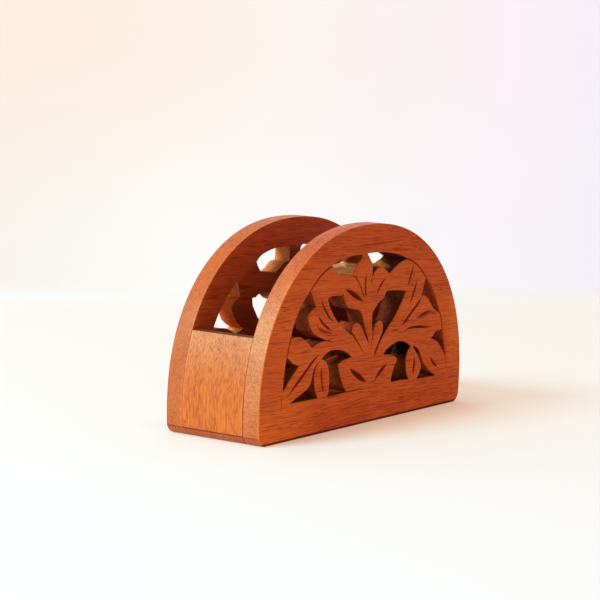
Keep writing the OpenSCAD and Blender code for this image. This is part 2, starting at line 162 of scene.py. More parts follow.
# Each opening is a ring of curved edges that meet at sharp corners: [x, z] on
# the panel's face.
GAPS = {
    "left_low": [
        [[-59.5, 20.3], [-59, 25], [-58.3, 30], [-57.4, 34]],
        [[-57.4, 34], [-55, 32.5], [-53, 31], [-51.5, 30.3], [-48.8, 29.5]],
        [[-48.8, 29.5], [-52, 27], [-55, 24.5], [-57.5, 22], [-59.5, 20.3]]],
    "left_mid": [
        [[-55, 41.2], [-53.8, 45], [-51.8, 49], [-49, 53], [-46, 56], [-42.3, 59.2]],
        [[-42.3, 59.2], [-40.8, 57], [-39.6, 54.5], [-38, 52.4]],
        [[-38, 52.4], [-40.5, 51.3], [-42.8, 49.9], [-43.6, 48.2], [-42.8, 46.3],
         [-41.5, 44.3], [-40, 42.3], [-38, 41], [-35, 39.6], [-32, 38.5], [-28.8, 37.7]],
        [[-28.8, 37.7], [-33, 37.7], [-36, 37.2], [-40.1, 35.9]],
        [[-40.1, 35.9], [-41.5, 37], [-44, 38.8], [-46.5, 40.3], [-49, 41.1],
         [-52, 41.3], [-55, 41.2]]],
    "left_mid_rear": [
        [[-55.8, 40.9], [-54.1, 44], [-51.8, 47.6], [-49, 51], [-46.1, 54], [-43, 57], [-40.3, 59.2]],
        [[-40.3, 59.2], [-39.4, 57], [-38.7, 54.7], [-38, 52.4]],
        [[-38, 52.4], [-40.5, 51.3], [-42.8, 49.9], [-43.6, 48.2], [-42.8, 46.3],
         [-41.5, 44.3], [-40, 42.3], [-38, 40.8], [-35, 39.1]],
        [[-35, 39.1], [-38, 38.1], [-40.4, 37.3]],
        [[-40.4, 37.3], [-42, 38.1], [-44, 39.1], [-46.5, 40.1], [-49, 40.6], [-52, 40.8],
         [-55.8, 40.9]]],
    "top_left": [
        [[-27.2, 67.7], [-26, 68.7], [-22, 69.7], [-17, 70.4], [-11, 70.9], [-6, 71]],
        [[-6, 71], [-5.8, 69.9], [-6.8, 68.8], [-9, 67.6], [-10.8, 66], [-12, 64.4],
         [-12.4, 62.9]],
        [[-12.4, 62.9], [-14.5, 63.3], [-17, 63.7], [-19.8, 64], [-21.5, 63.7], [-23, 64.1]],
        [[-23, 64.1], [-24.3, 65.4], [-25.6, 66.4], [-27.2, 67.7]]],
    "top_left_rear": [
        [[-27.3, 66.1], [-25, 68], [-22, 69.2], [-18, 70.2], [-14, 70.8], [-9, 71], [-4.5, 71]],
        [[-4.5, 71], [-3.8, 69], [-3.8, 66.5], [-4.2, 64.6]],
        [[-4.2, 64.6], [-7.5, 64.2], [-10.5, 62.3], [-13.3, 60.5]],
        [[-13.3, 60.5], [-18, 61.2], [-24.2, 61.7]],
        [[-24.2, 61.7], [-26.2, 64], [-27.3, 66.1]]],
    "top_right": [
        [[-1.8, 71], [0, 68.7], [1.6, 67], [2.2, 65], [2.1, 62.5], [1.6, 59.8]],
        [[1.6, 59.8], [2.6, 61.6], [4, 63.2], [6, 64.3], [8, 64.6], [10.5, 64],
         [13, 62.8], [15.2, 61.5]],
        [[15.2, 61.5], [17, 62.5], [20, 64], [23, 65.3], [26, 66.2], [29.5, 66.5]],
        [[29.5, 66.5], [25, 68], [20, 69.3], [15, 70.1], [10, 70.7], [5, 71], [-1.8, 71]]],
    "top_right_rear": [
        [[5.2, 71], [4.4, 70.4], [3.9, 69.5], [3.7, 68.4], [3.4, 67], [2.6, 65], [2.1, 62.5], [1.6, 59.8]],
        [[1.6, 59.8], [2.6, 61.6], [4, 63.2], [6, 64.3], [8, 64.6], [10.5, 64],
         [13, 62.8], [15.2, 61.5]],
        [[15.2, 61.5], [17, 62.5], [20, 64], [23, 65.3], [26, 66.2], [29.5, 66.5]],
        [[29.5, 66.5], [25, 68], [20, 69.3], [15, 70.1], [10, 70.7], [7, 71.1], [5.2, 71]]],
    "stem_left": [
        [[-29.8, 54.7], [-27, 55.5], [-23, 55.4], [-20.3, 55.2], [-19, 55.9]],
        [[-19, 55.9], [-18.3, 54], [-17, 52], [-15.4, 50]],
        [[-15.4, 50], [-13, 49.2], [-10, 48.6], [-7, 48], [-5.3, 47], [-4, 45],
         [-2.6, 42], [-1, 38.5], [0.4, 35.8], [1.5, 33.2]],
        [[1.5, 33.2], [-0.5, 35.3], [-2.5, 38], [-4.5, 40.6], [-6.5, 42.3], [-8.4, 42.9],
         [-10.2, 42.3], [-11.2, 41], [-11.3, 39.5], [-10.6, 37.9]],
        [[-10.6, 37.9], [-13, 38.7], [-16, 40.5], [-20, 42.9], [-23, 45.2], [-25, 47.2],
         [-27, 49.6], [-28.6, 52], [-29.8, 54.7]]],
    "stem_left_rear": [
        [[-29.6, 51.3], [-28.4, 51.2], [-27.3, 51.3]],
        [[-27.3, 51.3], [-25, 52.4], [-20, 52.6], [-17, 52], [-14, 50.5], [-11.5, 48.9],
         [-8, 48], [-5.3, 46.6], [-4, 45], [-2.6, 42], [-1, 38.5], [0.4, 35.8], [1.5, 33.2]],
        [[1.5, 33.2], [-0.5, 35.3], [-2.5, 38], [-4.5, 40.6], [-6.5, 42.3], [-8.4, 42.9],
         [-10.2, 42.3], [-11.2, 41], [-11.3, 39.5], [-10.6, 37.4]],
        [[-10.6, 37.4], [-13, 37.8], [-16, 38.6], [-20, 39.8], [-23, 41], [-25.2, 42.5],
         [-27.3, 45.3], [-29.2, 48.2], [-29.6, 51.3]]],
    "stem_right": [
        [[3, 45.7], [5, 47.6], [8, 49.9], [11, 51.3], [12.2, 52.6], [13.2, 53.9]],
        [[13.2, 53.9], [16, 54.1], [20, 53.8], [25, 53.4], [28.6, 53]],
        [[28.6, 53], [27, 50.6], [25, 48], [23, 45.6], [21, 43.5], [18.5, 41.2],
         [16, 39.2], [13.5, 37], [11, 34.5], [9, 32.1], [7, 29.3], [5.4, 27.2]],
        [[5.4, 27.2], [6, 29.4], [8, 32.4], [9.7, 34.9], [11, 36.7], [11.5, 38.3],
         [11.4, 40], [10.6, 41.5], [9, 42.2], [7.2, 41.9], [5.6, 41], [4.7, 39.5], [4, 36.5]],
        [[4, 36.5], [3.4, 39], [3.1, 42], [3, 45.7]]],
    "right_high": [
        [[44.6, 57.2], [48, 53.9], [51, 50.3], [53.5, 46.4], [55.2, 43.4], [56.4, 41]],
        [[56.4, 41], [54, 42], [51.2, 43.5], [49, 45.5], [47, 47.4], [45, 49],
         [43.3, 49.7], [41, 49.9]],
        [[41, 49.9], [42, 52.2], [43, 54.6], [43.8, 56.6], [44.6, 57.2]]],
    "right_low": [
        [[50.1, 30.2], [52, 31.6], [54, 33.1]],
        [[54, 33.1], [56.5, 33.1], [58.9, 33.4]],
        [[58.9, 33.4], [60.2, 30], [61.3, 26], [62.4, 22.5], [63.5, 18.4]],
        [[63.5, 18.4], [61.8, 22], [60, 24.4], [57.5, 27], [55, 28.7], [52.5, 29.8],
         [50.1, 30.2]]],
    "foot_left": [
        [[-54.2, 15.1], [-50, 16.7], [-46, 18.1], [-43, 19.3], [-41, 20.6], [-40, 22],
         [-39.2, 24.3], [-38.6, 26.4], [-37.2, 28.2], [-34.6, 30.1]],
        [[-34.6, 30.1], [-36.6, 27.9], [-37.6, 26], [-37.9, 23.5], [-37.6, 20.5],
         [-36.8, 18], [-35, 14.9]],
        [[-35, 14.9], [-54.2, 15.1]]],
    "vase_left": [
        [[-33.2, 30.6], [-30, 32.4], [-27, 33.2], [-24, 33.3], [-20, 32.8], [-17, 32.1],
         [-14, 30.8], [-11.3, 29]],
        [[-11.3, 29], [-14, 28.7], [-18, 28.2], [-21.2, 27.1]],
        [[-21.2, 27.1], [-20.4, 25], [-19.1, 22], [-17.6, 19], [-16, 16.7], [-14.2, 14.9]],
        [[-14.2, 14.9], [-28.2, 14.5]],
        [[-28.2, 14.5], [-27.4, 17], [-27.1, 20], [-27.3, 23], [-28, 26.2], [-29.3, 28.5],
         [-31, 29.8], [-33.2, 30.6]]],
    "vase_right": [
        [[12.6, 27.4], [15, 29.2], [18, 30.5], [21, 31.3], [25, 31.8], [28.5, 31.2],
         [31, 30.3], [34, 28.7]],
        [[34, 28.7], [32.3, 27.5], [31, 25.7], [30.4, 23.8], [30.6, 20.5], [31.2, 18],
         [32, 16], [33, 14.5]],
        [[33, 14.5], [28, 14.9], [19, 14.9]],
        [[19, 14.9], [19.5, 17.2], [20.4, 19.5], [21.7, 21.8], [23.4, 23.9]],
        [[23.4, 23.9], [22.8, 24.9], [20.8, 26], [17.5, 26.9], [12.6, 27.4]]],
    "foot_right": [
        [[35.3, 28.9], [38, 27.9], [40, 26.6], [41.7, 24.8], [43, 22.5], [44.8, 20.3],
         [47, 18.3], [50, 16.3], [54.6, 13.6]],
        [[54.6, 13.6], [47, 13.8], [39.6, 13.9]],
        [[39.6, 13.9], [41.3, 16], [42.4, 17.5], [42.9, 18.8], [42.3, 20.5], [41, 22.7],
         [39.3, 24.8], [37.3, 26.9], [35.3, 28.9]]],
}
COMMON = ["left_low", "stem_right", "right_high", "right_low",
          "foot_left", "vase_left", "vase_right", "foot_right"]
FRONT = COMMON + ["left_mid", "top_left", "top_right", "stem_left"]
REAR = COMMON + ["left_mid_rear", "top_left_rear", "top_right_rear", "stem_left_rear"]

# The knife leaned in these openings of the front panel: the far edge of each,
# with the same corners as the near one.
FAR = {
    "top_left": [
        [[-27.2, 67.7], [-26, 68.6], [-22, 69.6], [-17, 70.3], [-11, 70.8], [-6.6, 71]],
        [[-6.6, 71], [-6.6, 69.9], [-7.4, 68.9], [-9.4, 67.9], [-11, 67.2]],
        [[-11, 67.2], [-14, 66.9], [-18, 66.7], [-21.5, 66.7], [-23.4, 67]],
        [[-23.4, 67], [-24.6, 67.2], [-25.8, 67.5], [-27.2, 67.7]]],
    "top_right": [
        [[-1.8, 71], [0, 68.9], [1.6, 67.3], [2.3, 66], [2.7, 65], [3.2, 64.4]],
        [[3.2, 64.4], [5, 64.9], [8, 65.3], [11, 65.3], [13.5, 65.1], [15.5, 65.2]],
        [[15.5, 65.2], [17.4, 66], [19.4, 66.5], [21.5, 67.7]],
        [[21.5, 67.7], [18, 69.2], [14, 70.1], [10, 70.7], [5, 71], [-1.8, 71]]],
    "stem_right": [
        [[3.2, 45.9], [5, 47.4], [8, 49.6], [11, 50.9], [12.3, 52.1], [13.2, 53.4]],
        [[13.2, 53.4], [16, 53.3], [18.5, 53], [21, 52.7], [22.8, 52.4]],
        [[22.8, 52.4], [22.2, 50.2], [21.8, 48], [20.7, 45.6], [19.9, 43.4], [17.5, 41.1],
         [15.3, 39.1], [13, 36.9], [10.7, 34.4], [8.8, 32], [6.9, 29.3], [5.5, 27.5]],
        [[5.5, 27.5], [6.2, 29.6], [8.3, 32.6], [9.9, 35], [11.3, 36.9], [11.9, 38.4],
         [11.8, 40.2], [10.9, 41.9], [9.1, 42.7], [7.1, 42.3], [5.4, 41.3], [4.5, 39.8], [4.1, 37.4]],
        [[4.1, 37.4], [3.6, 39.4], [3.3, 42], [3.2, 45.9]]],
}

CUT_WIDE, CUT_DEEP = 1.4, 1.35

# Knife cuts: (points, width at the widest, depth, shape). Shape "v" tapers a
# little at both ends, "lens" swells in the middle, "tip" narrows to its end.
CUTS = [
    ([(-56.3, 18.3), (-50, 22.7), (-44.5, 26.6), (-40, 30), (-35, 32.9)], 1.0, 0.75, "v"),
    ([(-33.6, 27.5), (-33, 23.5), (-32.2, 19.5), (-31.3, 16.2)], 0.9, 0.7, "v"),
    ([(-37, 48.5), (-33, 45), (-29, 42.6), (-27, 41.7)], 0.8, 0.8, "v"),
    ([(-38.5, 45), (-35, 43), (-31, 41.3), (-26, 40.8)], 1.3, 0.4, "lens"),
    ([(-35.2, 56), (-33.5, 52.5), (-31, 49.5), (-28, 46.5), (-25, 45.3)], 1.0, 0.7, "lens"),
    ([(-18, 57.6), (-14.5, 56.3), (-10.5, 54.5), (-7, 52.8), (-4, 51)], 1.9, 1.0, "lens"),
    ([(-13, 63), (-10, 61.3), (-7.5, 58.8), (-5.5, 56), (-4, 53.5), (-2.5, 52.8)], 0.6, 0.5, "v"),
    ([(-2.8, 62.5), (-3.2, 58), (-2.8, 55), (-2.2, 53)], 1.0, 0.9, "v"),
    ([(5.2, 53), (7, 55.5), (9.5, 58), (12.5, 60.3)], 0.9, 0.7, "lens"),
    ([(1.6, 60), (1, 58.4)], 0.5, 0.5, "v"),
    ([(33.5, 64), (32.5, 61), (31, 58), (29.3, 55)], 1.0, 0.8, "lens"),
    ([(37.3, 58.2), (36, 55), (34.5, 52), (33, 49.3), (31, 46.3)], 1.0, 0.8, "lens"),
    ([(41.3, 49.8), (38, 46.5), (35, 44.5), (32, 42.5), (29, 40.2), (25.3, 38.2)], 1.0, 0.8, "v"),
    ([(36.5, 40.2), (40, 40.8), (44, 41.8), (47, 42.3), (51, 42)], 1.7, 0.5, "lens"),
    ([(27.8, 35.8), (31, 36.5), (36, 36.7), (41, 36.4), (45, 35.8), (50, 35.5)], 1.0, 0.7, "lens"),
    ([(6, 17), (9, 19.5), (12, 21.5), (15.5, 23.3)], 1.3, 0.8, "lens"),
    ([(-13, 24.6), (-9.5, 22.5), (-5, 20), (-2, 18.3), (0.5, 17.3)], 2.1, 1.1, "lens"),
    ([(36.8, 24), (37, 21), (36.5, 18), (36.2, 16)], 1.4, 0.9, "lens"),
    ([(49.5, 22.3), (52, 20), (54, 18.5), (56, 17)], 1.1, 0.8, "lens"),
    ([(-10.6, 37.9), (-8, 35.2), (-5, 32.2), (-1.3, 28.5)], 0.8, 0.7, "tip"),
    ([(-28.8, 37.7), (-25.3, 36.5)], 0.6, 0.5, "tip"),
    ([(-35, 15), (-24, 14.8), (-14, 14.9), (-5, 14.8), (5, 14.5)], 0.4, 0.25, "v"),
    ([(-42.3, 59.2), (-40, 61.4), (-35, 64.9), (-30, 67.2), (-27.2, 67.7)], 0.6, 0.45, "line"),
    ([(29.5, 66.5), (34, 64.6), (38, 62.5), (41, 60), (44.6, 57.2)], 0.6, 0.45, "line"),
    ([(56.4, 41), (57.8, 37.8), (58.9, 33.4)], 0.7, 0.5, "line"),
    ([(-55.2, 41.2), (-56.5, 37.5), (-57.4, 34)], 0.7, 0.5, "line"),
    ([(-60.8, 19.2), (-60.6, 17.5), (-60.5, 15), (-60.4, 11.8)], 0.35, 0.35, "v"),
    ([(4, 36.5), (2.9, 33.5), (2.6, 29.5)], 0.5, 0.4, "tip"),
]

# ---------------------------------------------------------------------------
# Mesh tools
# ---------------------------------------------------------------------------


class Loops:
    """Closed rings in the x-z plane, with distance and inside tests."""

    def __init__(self, rings):
        self.rings = [np.array(r, float) for r in rings]
        self.a = np.vstack(self.rings)
        self.b = np.vstack([np.roll(r, -1, axis=0) for r in self.rings])
        self.tree = kdtree.KDTree(len(self.a))
        for i, p in enumerate(self.a):
            self.tree.insert((p[0], p[1], 0.0), i)
        self.tree.balance()
        prev, base = [], 0
        for r in self.rings:
            n = len(r)
            prev += [base + (i - 1) % n for i in range(n)]
            base += n
        self.prev = np.array(prev)

    def _seg(self, p, i):
        a, ab = self.a[i], self.b[i] - self.a[i]
        t = np.clip(((p - a) * ab).sum(1) / np.maximum((ab * ab).sum(1), 1e-12), 0, 1)
        return np.hypot(*(p - a - t[:, None] * ab).T)

    def distance(self, pts):
        p = np.array(pts, float)
        near = np.array([[i for _, i, _ in self.tree.find_n((x, z, 0.0), 4)] for x, z in p])
        d = np.full(len(p), 1e9)
        for k in range(near.shape[1]):
            d = np.minimum(d, self._seg(p, near[:, k]))
            d = np.minimum(d, self._seg(p, self.prev[near[:, k]]))
        return d

    def inside(self, pts):
        p = np.array(pts, float)
        out = np.zeros(len(p), bool)
        ax, az, bx, bz = self.a[:, 0], self.a[:, 1], self.b[:, 0], self.b[:, 1]
        for s in range(0, len(p), 4000):
            q = p[s:s + 4000]
            c = (az[None] > q[:, 1:]) != (bz[None] > q[:, 1:])
            with np.errstate(divide="ignore", invalid="ignore"):
                x = ax[None] + (q[:, 1:] - az[None]) * (bx - ax)[None] / (bz - az)[None]
            out[s:s + 4000] = (np.sum(c & (q[:, :1] < x), axis=1) % 2) == 1
        return out


def area(r):
    r = np.array(r)
    x, z = r[:, 0], r[:, 1]
    return 0.5 * np.sum(x * np.roll(z, -1) - np.roll(x, -1) * z)


def offsets(rings, dist):
    """Points at a distance into the solid side of each ring; the first ring is
    the outside one and runs anticlockwise, the others are holes."""
    out = []
    for k, r in enumerate(rings):
        r = np.array(r, float)
        if (area(r) > 0) != (k == 0):
            r = r[::-1]
        t = np.roll(r, -1, axis=0) - np.roll(r, 1, axis=0)
        t /= np.maximum(np.hypot(*t.T), 1e-9)[:, None]
        out.append(r + dist * np.c_[-t[:, 1], t[:, 0]])
    return np.vstack(out)


class Cut:
    def __init__(self, points, width, depth, shape):
        self.line = np.array(even(curve(points), 0.3))
        self.half, self.depth, self.shape = width * CUT_WIDE / 2, depth * CUT_DEEP, shape
        seg = np.hypot(*np.diff(self.line, axis=0).T)
        self.s = np.r_[0, np.cumsum(seg)]

    def swell(self, t):
        t = np.clip(t, 0, 1)
        if self.shape == "lens":
            return np.sin(math.pi * t) ** 0.75
        if self.shape == "tip":
            return (1 - t) ** 0.6
        if self.shape == "line":
            return np.ones_like(t)
        return np.minimum(1, np.minimum(t / 0.22, (1 - t) / 0.22)) ** 0.7

    def samples(self):
        """Points and edges that let the surface follow the cut."""
        pts, edges = [], []
        t = self.s / self.s[-1]
        g = np.gradient(self.line, axis=0)
        g /= np.maximum(np.hypot(*g.T), 1e-9)[:, None]
        n = np.c_[-g[:, 1], g[:, 0]]
        w = np.maximum(self.swell(t) * self.half, 0.06)
        for k in (0.0, -1.0, 1.0, -0.5, 0.5):
            row = self.line + n * (w * k)[:, None]
            base = len(pts)
            pts += [tuple(p) for p in row]
            if k in (0.0, -1.0, 1.0):
                edges += [(base + i, base + i + 1) for i in range(len(row) - 1)]
        return pts, edges

    def depth_at(self, p):
        lo, hi = self.line.min(0) - self.half * 1.3, self.line.max(0) + self.half * 1.3
        pick = np.where(((p > lo) & (p < hi)).all(1))[0]
        out = np.zeros(len(p))
        if not len(pick):
            return out
        q = p[pick]
        best = np.full(len(q), 1e9)
        par = np.zeros(len(q))
        total = self.s[-1]
        for i in range(len(self.line) - 1):
            a, ab = self.line[i], self.line[i + 1] - self.line[i]
            t = np.clip(((q - a) @ ab) / max(ab @ ab, 1e-12), 0, 1)
            d = np.hypot(*(q - a - t[:, None] * ab).T)
            better = d < best
            best[better] = d[better]
            par[better] = (self.s[i] + t[better] * (self.s[i + 1] - self.s[i])) / total
        k = self.swell(par)
        w = np.maximum(k * self.half, 1e-4)
        u = np.clip(1 - best / w, 0, 1)
        out[pick] = self.depth * np.minimum(k, 1) * u ** 0.9 * (k > 0.02)
        return out


def face_mesh(rings, pockets, extra, extra_edges, spacing, radii):
    """Triangulates the area inside rings[0], outside the other rings and the
    pockets. Returns its points, its triangles and, for each ring and pocket,
    the index of each of its points."""
    region = Loops(list(rings) + list(pockets))
    verts, edges, spans = [], [], []
    for r in list(rings) + list(pockets):
        base, n = len(verts), len(r)
        verts += [tuple(p) for p in r]
        edges += [(base + i, base + (i + 1) % n) for i in range(n)]
        spans.append((base, n))
    allr = [rings[0]] + list(rings[1:])
    cand = []
    for d in radii:
        o = offsets(allr, d)
        ok = region.distance(o) > 0.96 * d
        cand.append(o[ok])
    if len(extra):
        ex = np.array(extra, float)
        d = region.distance(ex)
        ok = (d > 0.5) & region.inside(ex)
        index = -np.ones(len(ex), int)
        base = len(verts)
        index[ok] = base + np.arange(ok.sum())
        verts += [tuple(p) for p in ex[ok]]
        edges += [(index[a], index[b]) for a, b in extra_edges if index[a] >= 0 and index[b] >= 0]
        guard = kdtree.KDTree(int(ok.sum()))
        for i, p in enumerate(ex[ok]):
            guard.insert((p[0], p[1], 0.0), i)
        guard.balance()
    else:
        guard = None
    lo, hi = np.array(rings[0]).min(0), np.array(rings[0]).max(0)
    rng = np.random.default_rng(7)
    gx, gz = np.meshgrid(np.arange(lo[0], hi[0], spacing), np.arange(lo[1], hi[1], spacing * 0.87))
    gx = gx + (np.arange(gx.shape[0]) % 2)[:, None] * spacing / 2
    grid = np.c_[gx.ravel(), gz.ravel()] + rng.uniform(-0.12, 0.12, (gx.size, 2)) * spacing
    d = region.distance(grid)
    grid = grid[(d > max(list(radii) + [0.3]) * 1.35) & region.inside(grid)]
    cand.append(grid)
    cand = np.vstack(cand)
    cand = cand[region.inside(cand)]
    if guard is not None:
        keep = [guard.find((x, z, 0.0))[2] > 0.14 for x, z in cand]
        cand = cand[np.array(keep)]
    verts += [tuple(p) for p in cand]
    vs, _, fs, ov, _, _ = delaunay_2d_cdt([Vector(p) for p in verts], edges, [], 0, 1e-5, True)
    pts = np.array([tuple(v) for v in vs])
    tri = np.array([f for f in fs if len(f) == 3])
    centre = pts[tri].mean(1)
    tri = tri[region.inside(centre)]
    where = {}
    for i, olds in enumerate(ov):
        for o in olds:
            where[o] = i
    maps = [[where[base + i] for i in range(n)] for base, n in spans]
    return pts, tri, maps, region


def heart(x, z):
    """1 inside the arc that the fretwork fills, 0 on the band round it."""
    t = (np.abs(x) / 61.5) ** 2.2 + (np.maximum(z - 14, 0) / 57.0) ** 2.2
    k = np.clip((1.04 - t) / 0.16, 0, 1)
    return k * k * (3 - 2 * k) * np.clip((z - 13.0) / 1.5, 0, 1)


def smooth_noise(seed, length, waves, amp):
    """A periodic random curve as a function of a share of the way round."""
    rng = np.random.default_rng(seed)
    k = np.arange(1, waves + 1)
    ph = rng.uniform(0, 2 * math.pi, waves)
    am = rng.normal(0, 1, waves) / np.sqrt(waves)
    return lambda t: amp * (am[None] * np.sin(2 * math.pi * np.outer(t, k) + ph[None])).sum(1)


def paired(near, far, step=0.45):
    """The far edge of an opening, with a point for each point of the near one."""
    out = []
    for a, b in zip(near, far):
        n = len(even(curve(a), step)) - 1
        p = np.array(curve(b), float)
        s = np.r_[0, np.cumsum(np.hypot(*np.diff(p, axis=0).T))]
        t = np.linspace(0, s[-1], n + 1)[:-1]
        out += [tuple(v) for v in np.c_[np.interp(t, s, p[:, 0]), np.interp(t, s, p[:, 1])]]
    return out


def slab(name, rings, y_out, y_in, cuts=(), pockets_out=(), pockets_in=(), spacing=1.3,
         r_out=0.4, r_in=0.3, wall_rows=6, wall_mats=None, wall_wave=0.0, soft=0.0, warp=None,
         far=None):
    """A flat piece between the planes y_out and y_in. rings[0] is its outline and
    the others are openings. Arrises are eased, cuts are carved into the outer
    face, and pockets are blind recesses: (ring, depth). far holds the rings on
    the inner face where they differ."""
    rings = [list(map(tuple, r)) for r in rings]
    far = [list(map(tuple, r)) for r in (far or rings)]
    for k in range(len(rings)):
        if (area(rings[k]) > 0) != (k == 0):
            rings[k], far[k] = rings[k][::-1], far[k][::-1]
    rings_in = far
    thick = abs(y_in - y_out)
    sgn = 1.0 if y_in > y_out else -1.0
    carve = [Cut(*c) for c in cuts]
    steps = (30, 60, 90)

    def rad(r):
        return [r * (1 - math.cos(math.radians(a))) for a in steps]

    extra, extra_edges = [], []
    for c in carve:
        p, e = c.samples()
        extra_edges += [(a + len(extra), b + len(extra)) for a, b in e]
        extra += p

    def rounding(d, r):
        k = np.clip(1 - d / r, 0, 1)
        return r - r * np.sqrt(np.maximum(1 - k * k, 0))

    verts, faces, mats, edge_v, cut_v, deep_v = [], [], [], [], [], []
    ends = []
    for side in (0, 1):
        r = r_out if side == 0 else r_in
        here = rings if side == 0 else rings_in
        pockets = [p for p, _ in (pockets_out if side == 0 else pockets_in)]
        pts, tri, maps, region = face_mesh(here, pockets, extra if side == 0 else [],
                                           extra_edges if side == 0 else [],
                                           spacing if side == 0 else spacing * 1.6, rad(r))
        outer = Loops(here)
        d = outer.distance(pts)
        rim_d = Loops(here[:1]).distance(pts) if len(here) > 1 else d
        depth = rounding(d, r)
        if side == 0 and soft:
            depth = depth + soft * np.exp(-(d / 1.1) ** 2)
        cutd = np.zeros(len(pts))
        if side == 0:
            for c in carve:
                cutd = np.maximum(cutd, c.depth_at(pts))
        depth = depth + cutd
        y = y_out + sgn * depth if side == 0 else y_in - sgn * depth
        base = len(verts)
        verts += [(p[0], yy, p[1]) for p, yy in zip(pts, y)]
        edge_v += list(np.maximum(np.exp(-(rim_d / 0.4) ** 2), 0.3 * np.exp(-(d / 0.3) ** 2)))
        cut_v += list(np.clip(cutd / 0.7, 0, 1))
        deep_v += list(heart(pts[:, 0], pts[:, 1]) if side else np.zeros(len(pts)))
        # seen from outside the piece, face normals point away from it
        flip = (sgn > 0) == (side == 1)
        t = tri if not flip else tri[:, ::-1]
        faces += [tuple(int(base + i) for i in f) for f in t]
        mats += [0] * len(t)
        ends.append([[base + i for i in m] for m in maps])
        for (ring_, dep), m in zip(pockets_out if side == 0 else pockets_in, ends[-1][len(rings):]):
            bottom = len(verts)
            yy = y_out + sgn * dep if side == 0 else y_in - sgn * dep
            verts += [(verts[i][0], yy, verts[i][2]) for i in m]
            edge_v += [0.0] * len(m)
            cut_v += [0.0] * len(m)
            deep_v += [0.0] * len(m)
            n = len(m)
            for i in range(n):
                j = (i + 1) % n
                q = (m[i], m[j], bottom + j, bottom + i)
                faces.append(q if (flip == (area(ring_) > 0)) else q[::-1])
                mats.append(2)
            cap = tuple(bottom + i for i in range(n))
            faces.append(cap if (flip != (area(ring_) > 0)) else cap[::-1])
            mats.append(2)
    # walls between the two faces
    for k, r in enumerate(rings):
        top, bot = ends[0][k], ends[1][k]
        n = len(r)
        rr, ri = np.array(r), np.array(rings_in[k])
        t = np.roll(rr, -1, axis=0) - np.roll(rr, 1, axis=0)
        t /= np.maximum(np.hypot(*t.T), 1e-9)[:, None]
        nrm = np.c_[-t[:, 1], t[:, 0]]  # into the solid
        share = np.arange(n) / n
        wave = smooth_noise(100 + k, n, max(4, n // 7), wall_wave)(share) if wall_wave and k else np.zeros(n)
        tilt = smooth_noise(300 + k, n, 5, wall_wave)(share) if wall_wave and k else np.zeros(n)
        rows = [top]
        y0 = np.array([verts[i][1] for i in top])
        y1 = np.array([verts[i][1] for i in bot])
        for j in range(1, wall_rows + 1):
            f = j / (wall_rows + 1)
            if wall_wave and k:
                off = (wave * math.sin(math.pi * f) + tilt * math.sin(math.pi * f) * (0.5 + f)) + wall_wave * 0.6 * math.sin(math.pi * f)
            else:
                off = np.zeros(n)
            q = rr * (1 - f) + ri * f + nrm * off[:, None]
            base = len(verts)
            verts += [(a, yy, b) for (a, b), yy in zip(q, y0 * (1 - f) + y1 * f)]
            edge_v += [(1.0 if k == 0 else 0.3) * math.exp(-(min(f, 1 - f) * thick / 0.4) ** 2)] * n
            cut_v += [0.0] * n
            deep_v += [f if k else 0.0] * n
            rows.append([base + i for i in range(n)])
        rows.append(bot)
        mat = 1 if k == 0 else 2
        for a, b in zip(rows, rows[1:]):
            for i in range(n):
                j = (i + 1) % n
                q = (a[i], a[j], b[j], b[i])
                faces.append(q if sgn > 0 else q[::-1])
                mats.append(mat)
    v = np.array(verts)
    if warp is not None:
        v = warp(v)
    mesh = bpy.data.meshes.new(name)
    mesh.from_pydata([tuple(p) for p in v * MM], [], faces)
    mesh.polygons.foreach_set("material_index", mats)
    mesh.polygons.foreach_set("use_smooth", [True] * len(faces))
    # edge leads the painted arris highlight, cut the painted shade in the knife cuts, deep the painted shade inside the
    # slot and further into the walls
    for label, values in (("edge", edge_v), ("cut", cut_v), ("deep", deep_v)):
        att = mesh.attributes.new(label, "FLOAT", "POINT")
        att.data.foreach_set("value", np.array(values, np.float32))
    mesh.validate()
    mesh.update()
    mesh.set_sharp_from_angle(angle=math.radians(38))
    obj = bpy.data.objects.new(name, mesh)
    SCENE.collection.objects.link(obj)
    return obj


def circle(cx, cz, r, n=32):
    return [(cx + r * math.cos(2 * math.pi * i / n), cz + r * math.sin(2 * math.pi * i / n)) for i in range(n)]


def box_ring(x0, z0, x1, z1, step):
    c = [(x0, z0), (x1, z0), (x1, z1), (x0, z1)]
    out = []
    for a, b in zip(c, c[1:] + c[:1]):
        out += even([a, b], step, keep_last=False)
    return out


def fillet(ring_, corners, r, n=5):
    """Replaces each named corner of a coarse ring by an arc."""
    out = []
    m = len(ring_)
    for i, p in enumerate(ring_):
        if i not in corners:
            out.append(p)
            continue
        p = np.array(p, float)
        a = np.array(ring_[i - 1], float) - p
        b = np.array(ring_[(i + 1) % m], float) - p
        a /= np.hypot(*a)
        b /= np.hypot(*b)
        half = math.acos(np.clip(a @ b, -1, 1)) / 2
        t = r / math.tan(half)
        s, e = p + a * t, p + b * t
        c = p + (a + b) / np.hypot(*(a + b)) * (r / math.sin(half))
        a0, a1 = math.atan2(*(s - c)[::-1]), math.atan2(*(e - c)[::-1])
        da = (a1 - a0 + math.pi) % (2 * math.pi) - math.pi
        out += [tuple(c + r * np.array([math.cos(a0 + da * k / n), math.sin(a0 + da * k / n)]))
                for k in range(n + 1)]
    return out


# ---------------------------------------------------------------------------
# Materials
# ---------------------------------------------------------------------------


